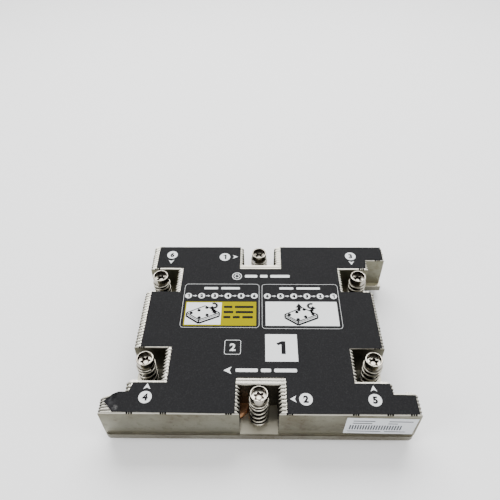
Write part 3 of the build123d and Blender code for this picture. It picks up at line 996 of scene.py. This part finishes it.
add_field(light_ink, rounded((2.7, 16.5), (23.55, 37.4), 0.1))
add_number(dark_ink, 1, 9.6, 30.5, 6.6, 2, 0.075)
add_frame(light_ink, (-14.9, -7.8), (26.9, 34.3), 0.9, 0.2)
add_number(light_ink, 2, -11.35, 30.6, 3.9, 1, 0.04)
add_arrowhead(light_ink, (-14.69, 19.2), (-11.4, 19.25), 3.5, 0.25)
add_bars(light_ink, -9.7, 19.3, 1.6, (9.2, 4.2, 9.4), 1.3)

hex_x, hex_y = -10.78, 71.81
add_outline(light_ink, circle(hex_x, hex_y, 2.35), circle(hex_x, hex_y, 1.98))
lobe_angles = [2 * math.pi * step / 60 for step in range(60)]
lobe_sizes = [1.25 + 0.22 * math.cos(6 * angle) for angle in lobe_angles]
lobe_outer = [(hex_x + r * math.cos(a), hex_y + r * math.sin(a)) for r, a in zip(lobe_sizes, lobe_angles)]
lobe_inner = [(hex_x + (x - hex_x) * 0.72, hex_y + (y - hex_y) * 0.72) for x, y in lobe_outer]
add_outline(light_ink, lobe_outer, lobe_inner)
add_bars(light_ink, -6.9, 71.8, 1.7, (6.0, 3.6, 9.4), 1.4)

light_film = film("light_ink", (0.72, 0.735, 0.735), (0.58, 0.59, 0.59), 3000.0, 0.6, 0.45)[0]
dark_film = film("dark_ink", (0.006, 0.006, 0.007), (0.014, 0.014, 0.015), 3000.0, 0.6, 0.5)[0]
yellow_film, _, yellow_shader, _ = film(
    "yellow_ink", (0.27, 0.235, 0.0), (0.235, 0.20, 0.0), 3000.0, 0.6, 0.7
)
yellow_shader.inputs["Specular IOR Level"].default_value = 0.0
inks = [
    ("light_print", light_ink, light_film),
    ("dark_print", dark_ink, dark_film),
    ("yellow_print", yellow_ink, yellow_film),
]
for name, layer, finish in inks:
    layer.normal_update()
    bmesh.ops.triangulate(layer, faces=[face for face in layer.faces if len(face.verts) > 4])
    for face in layer.faces:
        face.normal_update()
        if face.normal.z < 0:
            face.normal_flip()
    layer.transform(Matrix.Scale(mm, 4))
    made = bpy.data.meshes.new(name)
    layer.to_mesh(made)
    layer.free()
    made.materials.clear()
    made.materials.append(finish)
    layer_piece = add_object(name, made)
    coat = layer_piece.modifiers.new("ink_thickness", "SOLIDIFY")
    coat.thickness = ink * 0.9 * mm
    coat.offset = -1
    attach(layer_piece, "cooler")


# Front sticker
# A small satin film stuck to the front fin. Plain grey bars are printed on it,
# slightly askew.
sticker_low, sticker_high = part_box("side_label")
sticker_film = film("sticker_film", (0.50, 0.52, 0.54), (0.42, 0.43, 0.45), 2200.0, 0.5, 0.38)[0]
sticker = cad_copy("front_sticker", "side_label", 0.03)
sticker.data.materials.append(sticker_film)
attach(sticker, "cooler")
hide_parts("side_label")

sticker_centre = (sticker_low + sticker_high) / 2 / mm
sticker_ink = film("grey_ink", (0.055, 0.058, 0.066), (0.10, 0.10, 0.11), 3000.0, 0.6, 0.5)[0]
bars = bmesh.new()
bar_rows = [
    (-11.3, -2.7, 4.0, 0.65),
    (2.7, 12.2, 4.0, 0.65),
    (-11.3, -3.6, 2.2, 0.65),
    (2.7, 6.5, 2.2, 0.65),
    (-12.6, 0.9, -4.5, 0.55),
    (2.3, 10.9, -4.5, 0.55),
]
first_bar, bar_step, bar_width = -12.2, 1.06, 0.6
bar_lefts = [first_bar + bar_step * step for step in range(20)]
bar_rows += [(left, left + bar_width, -1.2, 3.8) for left in bar_lefts]
for left, right, level, height in bar_rows:
    outline = rounded((left, right), (level - height / 2, level + height / 2), 0.15)
    bars.faces.new([bars.verts.new((x, -0.02, z)) for x, z in outline])
sticker_tilt = 1.4
tilt = Matrix.Rotation(math.radians(sticker_tilt), 4, "Y")
front_of_sticker = Vector((sticker_centre.x, sticker_low.y / mm, sticker_centre.z))
bars.transform(Matrix.Scale(mm, 4) @ Matrix.Translation(front_of_sticker) @ tilt)
bars_mesh = bpy.data.meshes.new("sticker_bars")
bars.to_mesh(bars_mesh)
bars.free()
bars_mesh.materials.append(sticker_ink)
sticker_bars = add_object("sticker_bars", bars_mesh)
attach(sticker_bars, "cooler")


# Captive screws
# Plated steel, turned from bar: a cupped head with a six-lobe recess pressed in
# its floor, a plain shank, a ring groove and a rolled thread.
screw_sides = 96
lobe_depth = 0.19
places = ["front_left", "front_middle", "front_right", "rear_left", "rear_middle", "rear_right"]
screw_turns = [12, 40, 75, 20, 55, 33]
screw_low, screw_high = [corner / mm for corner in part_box("screw_front_middle")]
head_top = screw_high.z
ring_low, ring_high = [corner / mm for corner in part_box("ring_front_middle")]

screw_steel, screw_tree, screw_shader, screw_worn = plated(
    "plated_steel", (0.40, 0.375, 0.32), (0.13, 0.105, 0.08), 260.0, 0.45, 0.5, 0.14
)
# Painted shade: an attribute darkens the shank and thread, the underside of the head, the cup wall and the
# recess towards near black, in uneven patches.
screw_painted_shade = put(screw_tree, "ShaderNodeAttribute", attribute_name="painted_screw_shade").outputs["Fac"]
screw_place = put(screw_tree, "ShaderNodeTexCoord").outputs["Object"]
shade_patches = between(screw_tree, noise(screw_tree, screw_place, 650.0), 0.3, 0.7)
shade_depth = maths(screw_tree, "MULTIPLY_ADD", shade_patches, 0.12, 0.86)
shade_share = times(screw_tree, screw_painted_shade, shade_depth)
steel_with_painted_shade = colour_mix(screw_tree, shade_share, screw_worn["Color"], (0.012, 0.008, 0.006, 1))
screw_tree.links.new(steel_with_painted_shade, screw_shader.inputs["Base Color"])
turned_part, turned_in, turned_out = new_group(
    "turned_part",
    "GeometryNodeTree",
    [
        ("Geometry", "Geometry", None),
        ("Sides", "Int", screw_sides),
        ("Lobe Depth", "Float", lobe_depth),
        ("Centre", "Vector", None),
        ("Turn", "Float", 0.0),
        ("Finish", "Material", None),
    ],
    [("Geometry", "Geometry")],
)
outline_count = put(turned_part, "GeometryNodeAttributeDomainSize", {0: turned_in["Geometry"]})
outline_size = outline_count.outputs["Point Count"]
turned_columns = maths(turned_part, "ADD", turned_in["Sides"], 1.0)
turned_grid = put(
    turned_part,
    "GeometryNodeMeshGrid",
    {"Vertices X": turned_columns, "Vertices Y": outline_size},
).outputs["Mesh"]
turned_index = geo(turned_part, "InputIndex")
column = maths(turned_part, "FLOOR", maths(turned_part, "DIVIDE", turned_index, outline_size))
row_index = minus(turned_part, turned_index, times(turned_part, column, outline_size))
sampled = {"Geometry": turned_in["Geometry"], "Index": row_index}
outline_position = geo(turned_part, "InputPosition")
outline_place = geo(turned_part, "SampleIndex", {**sampled, 1: outline_position}, data_type="FLOAT_VECTOR")
outline_axes = put(turned_part, "ShaderNodeSeparateXYZ", {0: outline_place}).outputs
turned_angle = maths(turned_part, "DIVIDE", times(turned_part, column, 2 * math.pi), turned_in["Sides"])
lobe_wave = maths(turned_part, "COSINE", times(turned_part, turned_angle, 6.0))
lobe_size = times(turned_part, lobe_wave, turned_in["Lobe Depth"])
lobe_share = times(turned_part, lobe_size, outline_axes["Y"])
lobe_scale = maths(turned_part, "MULTIPLY_ADD", lobe_share, 1000.0, 1.0)
turned_radius = times(turned_part, outline_axes["X"], lobe_scale)
turned_place = combined(
    turned_part,
    x=times(turned_part, turned_radius, maths(turned_part, "COSINE", turned_angle)),
    y=times(turned_part, turned_radius, maths(turned_part, "SINE", turned_angle)),
    z=outline_axes["Z"],
)
# The painted shade of each outline point is carried over to the turned surface.
own_painted_shade = geo(turned_part, "InputNamedAttribute", {"Name": "painted_screw_shade"}, data_type="FLOAT")
outline_painted_shade = geo(turned_part, "SampleIndex", {**sampled, "Value": own_painted_shade}, data_type="FLOAT")
turned_painted_shade = geo(
    turned_part,
    "StoreNamedAttribute",
    {"Geometry": turned_grid, "Name": "painted_screw_shade", "Value": outline_painted_shade},
    data_type="FLOAT",
)
turned_shape = geo(turned_part, "SetPosition", {"Geometry": turned_painted_shade, "Position": turned_place})
turned_closed = geo(turned_part, "MergeByDistance", {"Geometry": turned_shape, "Distance": 1e-6})
about_axis = {"Axis": (0, 0, 1), "Angle": turned_in["Turn"]}
turned_about = put(turned_part, "FunctionNodeAxisAngleToRotation", about_axis).outputs[0]
placing = {"Geometry": turned_closed, "Translation": turned_in["Centre"], "Rotation": turned_about}
turned_placed = geo(turned_part, "Transform", placing)
end_tree(turned_part, turned_out, turned_placed, turned_in["Finish"])

shank_radius, thread_radius, thread_root, groove_radius = 2.4, 2.0, 1.72, 1.6
head_radius, cup_radius, drive_radius = 3.65, 3.05, 1.75
head_foot, cup_floor, drive_floor = head_top - 3.6, head_top - 2.2, head_top - 3.0
thread_pitch = 0.7
thread_start, thread_end = screw_low.z + 0.7, ring_low.z - 0.6
screw_outline = [(0, screw_low.z, 0), (1.35, screw_low.z, 0), (thread_root, thread_start - 0.3, 0)]
for ridge in range(int((thread_end - thread_start) / thread_pitch)):
    z = thread_start + ridge * thread_pitch
    screw_outline += [(thread_root, z, 0), (thread_radius, z + 0.28, 0)]
    screw_outline += [(thread_radius, z + 0.38, 0), (thread_root, z + 0.64, 0)]
screw_outline += [
    (groove_radius, ring_low.z - 0.05, 0),
    (groove_radius, ring_high.z + 0.05, 0),
    (shank_radius, ring_high.z + 0.25, 0),
    (shank_radius, head_foot - 0.25, 0),
    (shank_radius + 0.2, head_foot, 0),
    (head_radius - 0.22, head_foot, 0),
    (head_radius - 0.06, head_foot + 0.06, 0),
    (head_radius, head_foot + 0.22, 0),
    (head_radius, head_top - 0.28, 0),
    (head_radius - 0.07, head_top - 0.09, 0),
    (head_radius - 0.24, head_top, 0),
    (cup_radius + 0.16, head_top, 0),
    (cup_radius + 0.03, head_top - 0.06, 0),
    (cup_radius, head_top - 0.2, 0),
    (cup_radius, cup_floor + 0.35, 0),
    (cup_radius - 0.12, cup_floor + 0.1, 0),
    (cup_radius - 0.4, cup_floor, 0),
    (drive_radius + 0.16, cup_floor, 1),
    (drive_radius, cup_floor - 0.1, 1),
    (drive_radius - 0.06, drive_floor, 1),
    (1.0, drive_floor, 0),
    (0.75, drive_floor + 0.02, 0),
    (0, drive_floor - 0.1, 0),
]
# How dark each outline point is painted as shade: the shank and thread fully, the underside of the head, the
# cup wall and the recess walls mostly.
head_painted_shades = [0.8, 0.6, 0.2, 0, 0, 0, 0, 0, 0, 0.85, 0.95, 0.8, 0.1, 0.05, 1, 1, 1, 0.05, 0]
screw_painted_shades = [1.0] * (len(screw_outline) - len(head_painted_shades)) + head_painted_shades
for place, turn in zip(places, screw_turns):
    box_low, box_high = [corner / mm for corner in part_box("screw_" + place)]
    centre = (box_low + box_high) / 2
    outline = line_mesh("screw_outline", [(radius, lobe, z) for radius, z, lobe in screw_outline])
    outline.attributes.new("painted_screw_shade", "FLOAT", "POINT").data.foreach_set("value", screw_painted_shades)
    values = {
        "Sides": screw_sides,
        "Lobe Depth": lobe_depth,
        "Centre": (centre.x * mm, centre.y * mm, 0),
        "Turn": math.radians(turn),
        "Finish": screw_steel,
    }
    screw = grown("captive_screw_" + place, outline, turned_part, values, 28)
    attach(screw, "bolt_" + place)
    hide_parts("screw_" + place)


# Retaining rings
# Stamped rings of dark spring steel, sprung into the screws' grooves under the
# base plate, so that the screws can't fall out.
ring_steel = plated("ring_steel", (0.16, 0.155, 0.15), (0.07, 0.055, 0.045), 400.0, 0.5, 0.5, 0.32)[0]
for place in places:
    ring = cad_copy("snap_ring_" + place, "ring_" + place, 0.08)
    ring.data.materials.append(ring_steel)
    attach(ring, "catch_" + place)
    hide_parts("ring_" + place)


# Springs
# Wound from round plated wire, with most of a turn closed at each end. They
# hold the heads up until the screws are driven down.
wire = 0.84
spring_turns = 5.7
closed_turns = 0.7
spring_length = 15.8
wire_sides = 10
steps_per_turn = 40
spring_phases = [60, 110, 140, 95, 75, 120]
spring_steel, spring_tree, spring_shader, spring_worn = plated(
    "spring_steel", (0.50, 0.475, 0.40), (0.20, 0.165, 0.12), 300.0, 0.3, 0.2, 0.24
)
# Painted shade: the inner side of the wire, towards the spring's axis, is mixed towards near black.
spring_painted_shade = put(spring_tree, "ShaderNodeAttribute", attribute_name="painted_inner_shade").outputs["Fac"]
spring_colour = colour_mix(spring_tree, spring_painted_shade, spring_worn["Color"], (0.012, 0.009, 0.007, 1))
spring_tree.links.new(spring_colour, spring_shader.inputs["Base Color"])
wound_spring, spring_in, spring_out = new_group(
    "wound_spring",
    "GeometryNodeTree",
    [
        ("Geometry", "Geometry", None),
        ("Turns", "Float", spring_turns),
        ("Closed Turns", "Float", closed_turns),
        ("Mean Radius", "Float", 3.7 * mm),
        ("Wire", "Float", wire * mm),
        ("Height", "Float", spring_length * mm),
        ("Steps", "Int", 170),
        ("Foot", "Vector", None),
        ("Phase", "Float", 0.0),
        ("Finish", "Material", None),
    ],
    [("Geometry", "Geometry")],
)
spring_line = geo(wound_spring, "MeshLine", {"Count": spring_in["Steps"]}, mode="OFFSET")
step_number = geo(wound_spring, "InputIndex")
step_share = maths(wound_spring, "DIVIDE", step_number, minus(wound_spring, spring_in["Steps"], 1.0))
turn_now = times(wound_spring, step_share, spring_in["Turns"])
open_turns = maths(wound_spring, "MULTIPLY_ADD", spring_in["Closed Turns"], -2.0, spring_in["Turns"])
closed_rise = times(wound_spring, spring_in["Closed Turns"], spring_in["Wire"])
wound_rise = minus(wound_spring, spring_in["Height"], spring_in["Wire"])
open_rise = maths(wound_spring, "MULTIPLY_ADD", closed_rise, -2.0, wound_rise)
open_step = maths(wound_spring, "DIVIDE", open_rise, open_turns)
first_part = maths(wound_spring, "MINIMUM", turn_now, spring_in["Closed Turns"])
past_first = minus(wound_spring, turn_now, spring_in["Closed Turns"])
open_part = maths(wound_spring, "MAXIMUM", maths(wound_spring, "MINIMUM", past_first, open_turns), 0.0)
last_part = maths(wound_spring, "MAXIMUM", minus(wound_spring, past_first, open_turns), 0.0)
closed_part = times(wound_spring, maths(wound_spring, "ADD", first_part, last_part), spring_in["Wire"])
spring_z = maths(wound_spring, "MULTIPLY_ADD", open_part, open_step, closed_part)
spring_lift = maths(wound_spring, "MULTIPLY_ADD", spring_in["Wire"], 0.5, spring_z)
spring_angle = maths(wound_spring, "MULTIPLY_ADD", turn_now, 2 * math.pi, spring_in["Phase"])
spring_place = combined(
    wound_spring,
    x=times(wound_spring, spring_in["Mean Radius"], maths(wound_spring, "COSINE", spring_angle)),
    y=times(wound_spring, spring_in["Mean Radius"], maths(wound_spring, "SINE", spring_angle)),
    z=spring_lift,
)
spring_path = geo(
    wound_spring,
    "SetPosition",
    {"Geometry": spring_line, "Position": spring_place, "Offset": spring_in["Foot"]},
)
spring_curve = geo(wound_spring, "MeshToCurve", {0: spring_path})
spring_normal = geo(wound_spring, "SetCurveNormal", {"Curve": spring_curve}, mode="Z_UP")
wire_radius = times(wound_spring, spring_in["Wire"], 0.5)
wire_round = geo(wound_spring, "CurvePrimitiveCircle", {"Resolution": wire_sides, "Radius": wire_radius})
spring_swept = geo(
    wound_spring, "CurveToMesh", {"Curve": spring_normal, "Profile Curve": wire_round, "Fill Caps": True}
)
# Painted shade on the inner side of the wire, by its distance from the spring's axis.
skin_place = geo(wound_spring, "InputPosition")
skin_offset = put(
    wound_spring, "ShaderNodeVectorMath", {0: skin_place, 1: spring_in["Foot"]}, operation="SUBTRACT"
).outputs[0]
skin_flat = put(
    wound_spring, "ShaderNodeVectorMath", {0: skin_offset, 1: (1, 1, 0)}, operation="MULTIPLY"
).outputs[0]
skin_length = put(wound_spring, "ShaderNodeVectorMath", {0: skin_flat}, operation="LENGTH")
skin_radius = skin_length.outputs["Value"]
skin_start = maths(wound_spring, "MULTIPLY_ADD", spring_in["Wire"], 0.2, spring_in["Mean Radius"])
skin_depth = minus(wound_spring, skin_start, skin_radius)
skin_fade = times(wound_spring, spring_in["Wire"], 0.25)
skin_painted_shade = maths(wound_spring, "DIVIDE", skin_depth, skin_fade, clamp=True)
spring_shaded = geo(
    wound_spring,
    "StoreNamedAttribute",
    {"Geometry": spring_swept, "Name": "painted_inner_shade", "Value": skin_painted_shade},
    data_type="FLOAT",
)
end_tree(wound_spring, spring_out, spring_shaded, spring_in["Finish"])
for place, phase in zip(places, spring_phases):
    box_low, box_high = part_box("spring_" + place)
    centre = (box_low + box_high) / 2
    values = {
        "Turns": spring_turns,
        "Closed Turns": closed_turns,
        "Mean Radius": (box_high.x - box_low.x - wire * mm) / 2,
        "Wire": wire * mm,
        "Height": box_high.z - box_low.z,
        "Steps": int(spring_turns * steps_per_turn),
        "Foot": (centre.x, centre.y, box_low.z),
        "Phase": math.radians(phase),
        "Finish": spring_steel,
    }
    start = line_mesh("spring_start", [(0, 0, 0), (0, 0, 1)])
    spring = grown("wound_spring_" + place, start, wound_spring, values, 50)
    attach(spring, "cooler")
    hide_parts("spring_" + place)
    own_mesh(spring)
